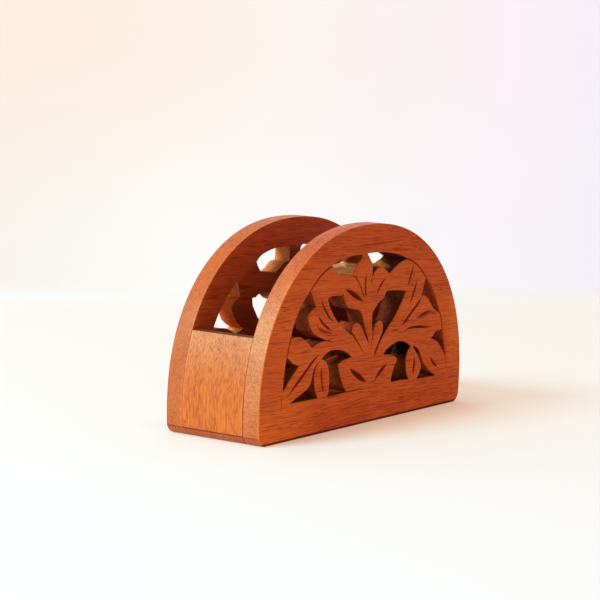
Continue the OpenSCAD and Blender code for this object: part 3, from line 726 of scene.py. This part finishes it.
class Nodes:
    def __init__(self, name):
        self.mat = bpy.data.materials.new(name)
        self.mat.use_nodes = True
        self.t = self.mat.node_tree
        self.t.nodes.clear()

    def add(self, kind, inputs=None, **props):
        n = self.t.nodes.new(kind)
        for k, v in props.items():
            setattr(n, k, v)
        for k, v in (inputs or {}).items():
            if isinstance(v, bpy.types.NodeSocket):
                self.t.links.new(v, n.inputs[k])
            else:
                n.inputs[k].default_value = v
        return n

    def math(self, op, a, b=None, c=None, clamp=False):
        ins = {0: a}
        if b is not None:
            ins[1] = b
        if c is not None:
            ins[2] = c
        return self.add("ShaderNodeMath", ins, operation=op, use_clamp=clamp).outputs[0]

    def vec(self, x, y, z):
        return self.add("ShaderNodeCombineXYZ", {0: x, 1: y, 2: z}).outputs[0]

    def noise(self, vector, scale=1.0, detail=3.0, rough=0.55, distortion=0.0):
        return self.add("ShaderNodeTexNoise", {"Vector": vector, "Scale": scale, "Detail": detail,
                                               "Roughness": rough, "Distortion": distortion}).outputs["Fac"]

    def ramp(self, fac, stops, interp="LINEAR"):
        n = self.add("ShaderNodeValToRGB", {"Fac": fac})
        n.color_ramp.interpolation = interp
        e = n.color_ramp.elements
        while len(e) < len(stops):
            e.new(0.5)
        for el, (pos, col) in zip(e, stops):
            el.position = pos
            el.color = (*col, 1.0) if len(col) == 3 else col
        return n.outputs["Color"]

    def span(self, v, a, b, c=0.0, d=1.0, smooth=True):
        return self.add("ShaderNodeMapRange", {"Value": v, "From Min": a, "From Max": b, "To Min": c, "To Max": d},
                        interpolation_type="SMOOTHSTEP" if smooth else "LINEAR").outputs["Result"]

    def mix(self, fac, a, b, mode="MIX"):
        n = self.add("ShaderNodeMix", data_type="RGBA", blend_type=mode)
        n.clamp_factor = True
        for sock, v in ((n.inputs["Factor"], fac), (n.inputs[6], a), (n.inputs[7], b)):
            if isinstance(v, bpy.types.NodeSocket):
                self.t.links.new(v, sock)
            else:
                sock.default_value = v if isinstance(v, float) else (*v, 1.0)
        return n.outputs[2]

    def attr(self, name):
        return self.add("ShaderNodeAttribute", attribute_name=name, attribute_type="GEOMETRY").outputs["Fac"]


def wood(name, grain, dark, mid, light, pore, seed=0.0, streak=1.0, pores=1.0, figure=0.5, rough=(0.45, 0.6),
         spec=0.2, marks=(), edge_col=None, cut_col=None, band=6.0, fine=0.5, fine_len=9.0, pore_len=4.5,
         pore_w=0.3, pore_cover=0.62, bump=1.0, edge_amount=0.5, wander=(2.5, 2.0), foot=None, top=None, soot=None, deep=None,
         tint=None, dim=None, spots=(), low=None, crisp=0.8, tilt=0.0, dark_edge=None, lines_y=(), contact_shade=(1.0, 0.45, (0.16, 0.14, 0.15)), warm=()):
    """Solid wood whose fibres run along one axis, so a face across them shows
    end grain. Lengths are in millimetres. foot is (height, colour, line):
    painted shade below a height, with a painted shadow line along that height;
    top is (height, colour): darker above a height. tint is three (height, colour)
    stops of painted light and shade, dim is (from, to, colour, inside only)
    painted shade along the length, low the same down the height, spots are
    (x, z, half width, half height, colour) patches of painted light and painted shade."""
    N = Nodes(name)
    pos = N.add("ShaderNodeTexCoord").outputs["Object"]
    mm = N.add("ShaderNodeVectorMath", {0: pos, 3: 1000.0}, operation="SCALE").outputs["Vector"]
    sep = N.add("ShaderNodeSeparateXYZ", {0: mm}).outputs
    order = {"X": (0, 2, 1), "Y": (1, 0, 2), "Z": (2, 0, 1)}[grain]
    g, u, v = (sep[i] for i in order)
    # the fibres wander a little
    wx = N.noise(N.vec(N.math("MULTIPLY", g, 1 / 60.0), N.math("MULTIPLY", u, 1 / 26.0), N.math("MULTIPLY_ADD", v, 1 / 26.0, seed)), 1.0, 2.0, 0.5)
    u2 = N.math("MULTIPLY_ADD", N.math("SUBTRACT", wx, 0.5), wander[0], u)
    v2 = N.math("MULTIPLY_ADD", N.math("SUBTRACT", wx, 0.5), wander[1], v)
    if tilt:
        u2 = N.math("MULTIPLY_ADD", N.math("MULTIPLY", g, u), tilt, u2)

    def grain_noise(lg, lu, lv, detail, rough_, off):
        return N.noise(N.vec(N.math("MULTIPLY_ADD", g, 1 / lg, seed + off), N.math("MULTIPLY", u2, 1 / lu),
                             N.math("MULTIPLY_ADD", v2, 1 / lv, seed * 0.7 + off)), 1.0, detail, rough_)

    fig = grain_noise(85.0, band, band * 1.3, 2.0, 0.5, 1.3)
    lines = grain_noise(24.0, fine * 3.0, fine * 3.0, 3.0, 0.6, 5.1)
    fibre = grain_noise(fine_len, fine, fine, 2.0, 0.6, 9.7)
    por = grain_noise(pore_len, pore_w, pore_w, 1.0, 0.5, 17.0)
    base = N.math("MULTIPLY_ADD", N.math("SUBTRACT", fig, 0.5), 1.1 * figure, 0.5)
    base = N.math("MULTIPLY_ADD", N.math("SUBTRACT", lines, 0.5), 0.8 * streak, base)
    base = N.math("MULTIPLY_ADD", N.math("SUBTRACT", fibre, 0.5), crisp * streak, base)
    col = N.ramp(base, [(0.2, dark), (0.5, mid), (0.8, light)])
    # open pores, thicker where the growth bands are dark
    pm = N.span(por, pore_cover, pore_cover + 0.1)
    pm = N.math("MULTIPLY", pm, N.span(fig, 0.62, 0.36, 0.5, 1.0))
    col = N.mix(N.math("MULTIPLY", pm, 0.75 * pores), col, pore)
    # dark grain lines: (u at g0, g0, slope, g from, g to, half width, strength)
    for (u0, g0, slope, ga, gb, hw, strength) in marks:
        wob = N.math("MULTIPLY", N.math("SUBTRACT", lines, 0.5), 0.9)
        d = N.math("ABSOLUTE", N.math("ADD", N.math("SUBTRACT", u, N.math("MULTIPLY_ADD", N.math("SUBTRACT", g, g0), slope, u0)), wob))
        m = N.span(d, hw, 0.0)
        m = N.math("MULTIPLY", m, N.math("MULTIPLY", N.span(g, ga, ga + (gb - ga) * 0.3), N.span(g, gb, gb - (gb - ga) * 0.3)))
        col = N.mix(N.math("MULTIPLY", m, strength), col, pore)
    edge = N.attr("edge")
    # painted highlight along the eased arrises, led by the edge attribute; dark_edge fades it out over an x range and
    # paints a shade line there instead
    if edge_col is not None:
        edge_highlight = N.math("MULTIPLY", edge, N.math("MULTIPLY_ADD", lines, 0.8, edge_amount - 0.4), clamp=True)
        if dark_edge is not None:
            edge_highlight = N.math("MULTIPLY", edge_highlight, N.span(sep[0], dark_edge[0], dark_edge[1], 1.0, 0.0))
        col = N.mix(edge_highlight, col, edge_col)
        if dark_edge is not None:
            m = N.math("MULTIPLY", edge, N.span(sep[0], dark_edge[0], dark_edge[1]), clamp=True)
            col = N.mix(N.math("MULTIPLY", m, 0.7), col, pore)
    # painted shade in the knife cuts, led by the cut attribute
    if cut_col is not None:
        col = N.mix(N.span(N.attr("cut"), 0.0, 0.8, smooth=False), col, cut_col)
    # painted shade on the downward-facing bevel below the foot height, and a painted shadow line in the crease at its
    # top
    if foot is not None:
        height, shade, line = foot
        col = N.mix(N.span(sep[2], height + 0.05, height - 0.05), col, N.mix(1.0, col, shade, "MULTIPLY"))
        if line:
            col = N.mix(N.math("MULTIPLY", N.span(N.math("ABSOLUTE", N.math("SUBTRACT", sep[2], height)), 0.4, 0.1), line), col, times(pore, (0.45, 0.4, 0.4)))
    # painted light and shade down the height, such as a sheen band on the arch edges and end boards
    if tint is not None:
        (za, ca), (zb, cb), (zc, cc) = tint
        shade = N.mix(N.span(sep[2], za, zb, smooth=False), ca, cb)
        shade = N.mix(N.span(sep[2], zb, zc, smooth=False), shade, cc)
        col = N.mix(1.0, col, shade, "MULTIPLY")
    # painted shade along the length (dim) and down the height (low), where asked only on surfaces that the deep
    # attribute marks as inside
    if dim is not None:
        m = N.span(sep[0], dim[0], dim[1])
        if dim[3]:
            m = N.math("MULTIPLY", m, N.attr("deep"), clamp=True)
        col = N.mix(m, col, N.mix(1.0, col, dim[2], "MULTIPLY"))
    if low is not None:
        m = N.span(sep[2], low[0], low[1])
        if low[3]:
            m = N.math("MULTIPLY", m, N.attr("deep"), clamp=True)
        col = N.mix(m, col, N.mix(1.0, col, low[2], "MULTIPLY"))
    for (xa, xb, za, zb, shade) in warm:
        # toward one end and one edge: (x from, x to, z from, z to, colour)
        m = N.math("MULTIPLY", N.span(sep[0], xa, xb), N.span(sep[2], za, zb))
        col = N.mix(m, col, N.mix(1.0, col, shade, "MULTIPLY"))
    # patches of painted lamp light and painted shade
    for (cx, cz, rx, rz, tone) in spots:
        d = N.math("POWER", N.math("MULTIPLY", N.math("SUBTRACT", sep[0], cx), 1 / rx), 4.0)
        e = N.math("POWER", N.math("MULTIPLY", N.math("SUBTRACT", sep[2], cz), 1 / rz), 4.0)
        rough_tone = N.mix(N.span(base, 0.2, 0.8), times(tone, (0.55, 0.5, 0.45)), tone)
        col = N.mix(N.span(N.math("ADD", d, e), 1.0, 0.55), col, rough_tone)
    for (cy, half, amount) in lines_y:
        d = N.math("ABSOLUTE", N.math("SUBTRACT", sep[1], cy))
        col = N.mix(N.math("MULTIPLY", N.span(d, half, half * 0.4), amount), col, pore)
    # painted contact shadow where the wood meets the table
    col = N.mix(N.span(sep[2], contact_shade[0], contact_shade[1], 0.0, 0.92), col, N.mix(1.0, col, contact_shade[2], "MULTIPLY"))
    if top is not None:
        height, shade = top
        col = N.mix(N.span(sep[2], height - 0.12, height), col, N.mix(1.0, col, shade, "MULTIPLY"))
    if deep is not None:
        # painted shade where little light reaches: (from, to, colour)
        a, b, c = deep
        col = N.mix(N.span(N.attr("deep"), a, b), col, N.mix(1.0, col, c, "MULTIPLY"))
    if soot is not None:
        # grime and burnish that gather in patches on sawn walls
        s_noise = N.noise(mm, 0.22, 3.0, 0.6)
        col = N.mix(N.span(s_noise, 0.42, 0.66, 0.0, soot[0]), col, soot[1])
    rgh = N.span(base, 0.25, 0.75, rough[1], rough[0], False)
    rgh = N.math("ADD", rgh, N.math("MULTIPLY", pm, 0.15), clamp=True)
    height_ = N.math("SUBTRACT", N.math("MULTIPLY", fibre, 0.35), N.math("MULTIPLY", pm, 0.9))
    bmp = N.add("ShaderNodeBump", {"Strength": 0.5 * bump, "Distance": 0.00006, "Height": height_}).outputs["Normal"]
    sh = N.add("ShaderNodeBsdfPrincipled", {"Base Color": col, "Roughness": rgh, "Normal": bmp,
                                            "Specular IOR Level": spec, "IOR": 1.5})
    N.add("ShaderNodeOutputMaterial", {"Surface": sh.outputs[0]})
    return N.mat


def times(c, k):
    return tuple(min(1.0, v * w) for v, w in zip(c, k if isinstance(k, tuple) else (k, k, k)))


# the carved faces: red-brown, grain along the panel, with a painted arris highlight, painted shade in the cuts and a
# painted contact shadow at the foot
FACE_MARKS = [(74.6, 6.0, 0.02, -14.0, 30.0, 0.55, 0.75), (48.3, -60.0, 0.03, -66.0, -54.0, 0.5, 0.6),
              (67.8, -45.0, -0.02, -50.0, -40.0, 0.5, 0.5)]
FACE = (0.615, 0.0885, 0.0102)
face_front = wood("panel_face_front", "X", times(FACE, (0.6, 0.48, 0.45)), FACE, times(FACE, (1.16, 1.33, 1.5)),
                  times(FACE, (0.27, 0.2, 0.25)), seed=3.0, marks=FACE_MARKS, edge_col=(0.72, 0.22, 0.06),
                  cut_col=times(FACE, (0.24, 0.145, 0.2)), spec=0.05, streak=0.5, pores=1.0, fine=0.36,
                  fine_len=11.0, pore_w=0.36, pore_len=8.0, pore_cover=0.59, edge_amount=0.22, crisp=2.2,
                  wander=(1.6, 1.2), tilt=0.0009, figure=0.35, deep=(0.1, 0.9, (0.4, 0.36, 0.4)),
                  dark_edge=(20.0, 60.0), contact_shade=(1.4, 0.8, (0.11, 0.08, 0.06)), 
                  warm=((60.0, 68.0, 13.0, 24.0, (1.14, 1.38, 0.95)), (-36.0, -58.0, 20.0, 9.0, (1.15, 1.3, 1.2))), dim=(-56.0, -30.0, (0.95, 0.93, 0.93), False),
                  tint=((15.0, (1.0, 1.0, 1.0)), (62.0, (0.97, 0.97, 0.97)), (76.0, (0.87, 0.8, 0.76))))
# the back panel's faces, with painted shade on the inner face deep in the fretwork, lower down and towards the right
BACK = (0.52, 0.073, 0.0125)
face_back = wood("panel_face_back", "X", times(BACK, (0.6, 0.48, 0.45)), BACK, times(BACK, (1.16, 1.33, 1.5)),
                 times(BACK, (0.27, 0.2, 0.25)), seed=21.0, edge_col=(0.6, 0.17, 0.05),
                 cut_col=times(BACK, (0.4, 0.33, 0.45)), spec=0.05, streak=0.5, pores=1.0, fine=0.36,
                 fine_len=11.0, pore_w=0.36, pore_len=8.0, pore_cover=0.59, edge_amount=0.15, crisp=2.2,
                 wander=(1.6, 1.2), tilt=0.0009, figure=0.35, deep=(0.1, 0.9, (0.72, 0.72, 0.7)), low=(55.0, 45.0, (0.66, 0.6, 0.6), True),
                 dim=(-22.0, -2.0, (0.62, 0.58, 0.7), True),
                 tint=((15.0, (1.0, 1.0, 1.0)), (60.0, (1.0, 1.0, 1.0)), (76.0, (1.0, 0.86, 0.72))))
# the arch edges: paler and more orange than the faces, partly end grain and partly a painted sheen band from the lamp,
# with painted shade on the foot bevel
RIM = (0.455, 0.197, 0.072)
rim = wood("panel_rim", "X", times(RIM, (0.75, 0.62, 0.5)), RIM, times(RIM, (1.15, 1.25, 1.4)),
           times(RIM, (0.38, 0.26, 0.22)), seed=11.0, streak=0.9, fine=0.5, pore_w=0.5, pore_len=4.0,
           pores=0.9, pore_cover=0.59, edge_col=(0.62, 0.24, 0.08), edge_amount=0.35, spec=0.34, rough=(0.36, 0.5),
           crisp=2.0, foot=(BEVEL_H, (0.98, 0.5, 0.24), 0.5), lines_y=((-IN_Y, 0.5, 0.8),),
           tint=((5.0, (0.957, 0.642, 0.372)), (42.0, (1.0, 1.0, 1.0)), (78.0, (0.948, 0.388, 0.0975))))
# the back panel's arch edges: a separate copy of the arch-edge wood without the front's painted sheen, with painted
# light and shade down the height in its tint and painted shade on the foot bevel
RIM_BACK = (0.45, 0.111, 0.0212)
rim_back = wood("panel_rim_back", "X", times(RIM_BACK, (0.75, 0.62, 0.5)), RIM_BACK, times(RIM_BACK, (1.15, 1.25, 1.4)),
                times(RIM_BACK, (0.38, 0.26, 0.22)), seed=13.0, streak=0.9, fine=0.5, pore_w=0.5, pore_len=4.0,
                pores=0.9, pore_cover=0.59, edge_col=(0.62, 0.22, 0.07), edge_amount=0.3, spec=0.34, rough=(0.36, 0.5),
                crisp=2.0, foot=(BEVEL_H, (1.0, 0.77, 0.42), 0.7), lines_y=((HALF_D, 1.0, 0.9),),
                tint=((5.0, (0.968, 1.0, 1.0)), (42.0, (0.83, 0.906, 0.964)), (78.0, (1.0, 0.88, 0.55))))
# the sawn walls of the openings, with patches of painted lamp light and painted shade; the back panel's walls are
# painted paler where the lamp behind reaches them
SAWN = (0.27, 0.05, 0.0135)
sawn = wood("fret_walls", "X", times(SAWN, (0.6, 0.5, 0.45)), SAWN, times(SAWN, (1.4, 1.5, 1.6)),
            times(SAWN, (0.4, 0.3, 0.3)), seed=31.0, fine=0.45, pore_w=0.4, pore_len=4.0, spec=0.08,
            rough=(0.6, 0.75), crisp=1.4, low=(48.0, 28.0, (0.7, 0.66, 0.55), False), dim=(-9.0, 5.0, (0.42, 0.4, 0.35), False),
            spots=((-18.5, 64.0, 10.5, 4.9, (0.95, 0.5, 0.19)), (12.5, 65.3, 6.5, 2.3, (0.4, 0.165, 0.035)),
                   (31.5, 16.5, 3.5, 7.5, (0.18, 0.03, 0.002)), (32.5, 28.6, 3.2, 3.6, (0.013, 0.004, 0.0006)),
                   (50.0, 17.5, 12.0, 8.5, (0.4, 0.085, 0.014)),
                   (54.5, 40.0, 11.5, 22.0, (0.46, 0.078, 0.023))))
# painted lamp light: the back panel's walls are a paler copy of the sawn wood
LAMP_LIT_WOOD = (0.5, 0.172, 0.048)
sawn_back = wood("fret_walls_back", "X", times(LAMP_LIT_WOOD, (0.65, 0.52, 0.42)), LAMP_LIT_WOOD, times(LAMP_LIT_WOOD, (1.2, 1.35, 1.5)),
                 times(LAMP_LIT_WOOD, (0.4, 0.3, 0.3)), seed=37.0, fine=0.45, pore_w=0.4, pore_len=4.0, spec=0.1,
                 rough=(0.6, 0.75), crisp=1.4, dim=(-3.0, 3.0, (0.22, 0.14, 0.14), False),
                 tint=((40.0, (1.13, 0.57, 0.34)), (50.0, (1.12, 0.58, 0.36)), (58.0, (1.03, 1.0, 0.97))),
                 spots=((-37.0, 36.5, 9.0, 3.2, (0.95, 0.44, 0.13)), (-20.5, 49.8, 8.0, 5.2, (0.11, 0.034, 0.012))))
# the end boards: orange-brown, grain upright, with a painted sheen towards the top, painted shade on the foot bevel and
# a painted shade patch on the right board's inner face
END = (0.51, 0.165, 0.046)
end_wood = wood("end_board_wood", "Z", times(END, (0.78, 0.62, 0.48)), END, times(END, (1.12, 1.24, 1.5)),
                times(END, (0.38, 0.27, 0.22)), seed=5.0, streak=0.9, band=5.0, fine=0.46, fine_len=6.0,
                pore_len=3.4, pore_w=0.42, pores=0.9, pore_cover=0.575, edge_col=(0.62, 0.25, 0.08), edge_amount=0.3,
                crisp=2.2, spec=0.34, rough=(0.36, 0.5), foot=(BEVEL_H, (0.86, 0.6, 0.53), 1.0),
                top=(END_H, (0.3, 0.28, 0.3)), spots=((64.5, 20.0, 1.5, 15.0, (0.085, 0.038, 0.005)),),
                tint=((5.0, (1.0, 0.775, 0.31)), (22.0, (0.93, 0.775, 0.377)), (40.0, (0.87, 1.04, 1.2))))
floor_wood = wood("floor_board_wood", "X", (0.10, 0.025, 0.009), (0.17, 0.045, 0.016), (0.26, 0.075, 0.028),
                  (0.06, 0.015, 0.006), seed=41.0, spec=0.12, rough=(0.6, 0.8))
pin_wood = wood("pin_wood", "Y", (0.50, 0.33, 0.17), (0.62, 0.43, 0.24), (0.72, 0.53, 0.32),
                (0.35, 0.2, 0.1), seed=51.0, spec=0.2, rough=(0.6, 0.8))

# ---------------------------------------------------------------------------
# The pieces
# ---------------------------------------------------------------------------


def dress(obj, mats, node):
    for m in mats:
        obj.data.materials.append(m)
    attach(obj, "root")
    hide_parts(node)


def floor_slot():
    return (box_ring(-END_X, FLOOR_Z, END_X, FLOOR_Z + FLOOR_T, 2.0), GROOVE)


def pin_bores(depth, sides=(-1, 1)):
    return [(circle(s * PIN_X, z, PIN_R), depth) for s in sides for z in PIN_Z]


front = slab("front_panel_carved", [outline()] + [ring(GAPS[k]) for k in FRONT], -HALF_D, -IN_Y, cuts=CUTS,
             pockets_in=[floor_slot()] + pin_bores(5.5), wall_wave=0.1, soft=0.12, r_out=0.36, r_in=0.16,
             far=[outline()] + [paired(GAPS[k], FAR.get(k, GAPS[k])) for k in FRONT])
dress(front, [face_front, rim, sawn], "front_panel")

back = slab("back_panel_carved", [outline()] + [ring(GAPS[k]) for k in REAR], HALF_D, IN_Y, cuts=CUTS,
            pockets_in=[floor_slot()] + pin_bores(5.5), wall_wave=0.1, soft=0.12, r_out=0.36, r_in=0.16)
dress(back, [face_back, rim_back, sawn_back], "back_panel")


def end_profile(s):
    right = right_half(0.8)
    outer = [p for p in right if p[1] < END_H - 0.05]
    top = (half_at(END_H), END_H)
    coarse = [(END_X, END_H), (END_X, 0.0)] + outer + [top]
    rounded = fillet(coarse, {0, 1, len(coarse) - 1}, 0.35)
    # close points along the two long straight sides
    out = []
    m = len(rounded)
    for i, p in enumerate(rounded):
        q = rounded[(i + 1) % m]
        out += even([p, q], 1.0, keep_last=False) if math.dist(p, q) > 1.5 else [p]
    return [(s * x, z) for x, z in out]


def seam(v):
    """The front seam of an end board opens a little towards its foot, and the
    rear one towards its top."""
    out = v.copy()
    low = 0.03 + 0.24 * np.clip((30 - v[:, 2]) / 14, 0, 1) ** 1.5
    high = 0.02 + 0.12 * np.clip((v[:, 2] - 20) / 16, 0, 1) ** 1.5
    out[:, 1] += low * np.clip((-v[:, 1] - 8) / (IN_Y - 8), 0, 1)
    out[:, 1] -= high * np.clip((v[:, 1] - 8) / (IN_Y - 8), 0, 1)
    return out


for s, node in ((-1, "left_end_board"), (1, "right_end_board")):
    board = slab(node + "_eased", [end_profile(s)], -IN_Y, IN_Y,
                 pockets_out=pin_bores(11.5, (s,)), pockets_in=pin_bores(11.5, (s,)),
                 spacing=2.0, r_out=0.14, r_in=0.1, wall_rows=24, warp=seam)
    dress(board, [end_wood, end_wood, end_wood], node)

plank = box_ring(-END_X + 0.1, FLOOR_Z + 0.05, END_X - 0.1, FLOOR_Z + FLOOR_T - 0.05, 2.0)
floor_piece = slab("floor_board_eased", [plank], -IN_Y - GROOVE + 0.1, IN_Y + GROOVE - 0.1,
                   spacing=2.5, r_out=0.3, r_in=0.3, wall_rows=16)
dress(floor_piece, [floor_wood, floor_wood, floor_wood], "floor_board")

for n in ("left_dowels", "right_dowels"):
    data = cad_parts[n].data
    data.materials.clear()
    data.materials.append(pin_wood)

# ---------------------------------------------------------------------------
# Floor, backdrop and light
# ---------------------------------------------------------------------------


def pale(name, low, high, lift):
    """Pale paper whose tint changes across the sweep and with height. Stops are
    (place along SIDE in metres, own light); the rest is what falls on it."""
    N = Nodes(name)
    pos = N.add("ShaderNodeTexCoord").outputs["Object"]
    sep = N.add("ShaderNodeSeparateXYZ", {0: pos}).outputs
    w = N.math("MULTIPLY_ADD", sep[1], -0.820, N.math("MULTIPLY", sep[0], 0.572))
    near = N.math("MULTIPLY_ADD", sep[1], 0.572, N.math("MULTIPLY", sep[0], 0.820))

    def ramp(stops):
        lo, hi = stops[0][0], stops[-1][0]
        return N.ramp(N.span(w, lo, hi, smooth=False), [((a - lo) / (hi - lo), c) for a, c in stops])

    up = N.span(sep[2], 0.001, 0.008)
    rise = N.span(sep[2], 0.02, 0.15)
    flat = N.mix(N.span(near, 0.15, -0.35), (0.755, 0.455, 0.25), (0.745, 0.435, 0.265))
    # the paper is darker where the holder shuts off the room, away from the lamp
    open_ = N.add("ShaderNodeAmbientOcclusion", {"Distance": 0.025}, samples=8).outputs["AO"]
    shut = N.math("MULTIPLY", N.span(open_, 1.0, 0.0, smooth=False), N.span(sep[0], -0.085, -0.045))
    flat = N.mix(shut, flat, N.mix(1.0, flat, (0.55, 0.38, 0.42), "MULTIPLY"))
    own = N.mix(up, flat, N.mix(rise, ramp(low), ramp(high)))
    col = N.mix(up, (0.17, 0.44, 0.60), (lift, lift, lift))
    sh = N.add("ShaderNodeBsdfPrincipled", {"Base Color": col, "Roughness": 0.9, "Specular IOR Level": 0.05,
                                            "Emission Color": own, "Emission Strength": 1.0})
    N.add("ShaderNodeOutputMaterial", {"Surface": sh.outputs[0]})
    return N.mat


def lin(r, g, b, less=0.0):
    return tuple(max(0.0, (v / 255.0 / 12.92 if v <= 10 else ((v / 255.0 + 0.055) / 1.055) ** 2.4) - less) for v in (r, g, b))


LIFT = 0.1
SHARE = [0.125, 0.115, 0.105]      # what the lamp and the room add to the sweep's wall, left to right
LOW = [(-0.19, lin(249, 244, 238, SHARE[0])), (-0.13, lin(250, 249, 244, SHARE[0])),
       (-0.08, lin(252, 252, 249, SHARE[1])), (0.0, lin(251, 250, 250, SHARE[1])),
       (0.10, lin(249, 244, 249, SHARE[2])), (0.19, lin(244, 240, 249, SHARE[2]))]
HIGH = [(-0.19, lin(254, 238, 225, SHARE[0])), (-0.10, lin(255, 241, 230, SHARE[0])),
        (-0.02, lin(252, 244, 240, SHARE[1])), (0.05, lin(251, 242, 243, SHARE[1])),
        (0.11, lin(251, 241, 247, SHARE[2])), (0.19, lin(244, 239, 250, SHARE[2]))]

# the table top, and a sheet that sweeps up from it behind the holder
START, ALONG = Vector((0.3050, 0.2249, 0.0)), Vector((0.7543, -0.6565, 0.0))
TOWARDS = Vector((-0.6565, -0.7543, 0.0))
COVE = 0.012
PALE = pale("sweep_pale", LOW, HIGH, LIFT)


def sheet(name, profile, t0, t1):
    verts = []
    for t in (t0, t1):
        verts += [tuple(START + ALONG * t + TOWARDS * d + Vector((0, 0, z))) for d, z in profile]
    m = len(profile)
    mesh = bpy.data.meshes.new(name)
    mesh.from_pydata(verts, [], [(m + i, m + i + 1, i + 1, i) for i in range(m - 1)])
    mesh.polygons.foreach_set("use_smooth", [True] * (m - 1))
    mesh.materials.append(PALE)
    obj = bpy.data.objects.new(name, mesh)
    SCENE.collection.objects.link(obj)
    return obj


sheet("table_top", [(6.0, 0.0), (1.0, 0.0), (0.0, 0.0), (-6.0, 0.0)], -6.0, 6.0)
cove = [(COVE * (1 - math.sin(a)), COVE * (1 - math.cos(a))) for a in [math.pi / 2 * k / 10 for k in range(11)]]
backdrop = sheet("backdrop", cove + [(0.0, 0.1), (0.0, 0.5)], -0.68, 0.27)
backdrop.visible_shadow = False

world = bpy.data.worlds.new("studio")
SCENE.world = world
world.use_nodes = True
wt = world.node_tree
bg = wt.nodes["Background"]
wc = wt.nodes.new("ShaderNodeTexCoord")
ws = wt.nodes.new("ShaderNodeSeparateXYZ")
wt.links.new(wc.outputs["Generated"], ws.inputs[0])


def world_span(socket, a, b, c, d):
    n = wt.nodes.new("ShaderNodeMapRange")
    n.interpolation_type = "SMOOTHSTEP"
    for k, v in (("From Min", a), ("From Max", b), ("To Min", c), ("To Max", d)):
        n.inputs[k].default_value = v
    wt.links.new(socket, n.inputs["Value"])
    return n.outputs[0]


# in front brightest low down and dim overhead, behind the holder even and pale
wm = wt.nodes.new("ShaderNodeMath")
wm.operation = "MULTIPLY"
wt.links.new(world_span(ws.outputs[2], 0.15, 0.7, 1.0, 0.08), wm.inputs[0])
wt.links.new(world_span(ws.outputs[1], -0.7, 0.1, 1.1, 0.45), wm.inputs[1])
wd = wt.nodes.new("ShaderNodeVectorMath")
wd.operation = "DOT_PRODUCT"
wt.links.new(wc.outputs["Generated"], wd.inputs[0])
wd.inputs[1].default_value = -TOWARDS
wx = wt.nodes.new("ShaderNodeMix")
wt.links.new(world_span(wd.outputs["Value"], 0.0, 0.2, 0.0, 1.0), wx.inputs[0])
wt.links.new(wm.outputs[0], wx.inputs[2])
wx.inputs[3].default_value = 0.88
wt.links.new(wx.outputs[0], bg.inputs[1])
bg.inputs[0].default_value = (1.0, 0.98, 0.96, 1.0)


def area_light(name, where, target, size, energy, colour):
    light = bpy.data.lights.new(name, "AREA")
    light.shape = "DISK"
    light.size = size
    light.energy = energy
    light.color = colour
    obj = bpy.data.objects.new(name, light)
    SCENE.collection.objects.link(obj)
    obj.location = where
    obj.rotation_euler = (Vector(target) - Vector(where)).to_track_quat("-Z", "Y").to_euler()
    return obj


area_light("key", (-1.54, 0.50, 1.21), (0.0, 0.0, 0.03), 0.8, 48.0, (1.0, 0.96, 0.9))

SCENE.view_settings.view_transform = "Standard"
SCENE.view_settings.look = "None"
SCENE.view_settings.exposure = 0.0
SCENE.view_settings.gamma = 1.0

bpy.context.view_layer.update()
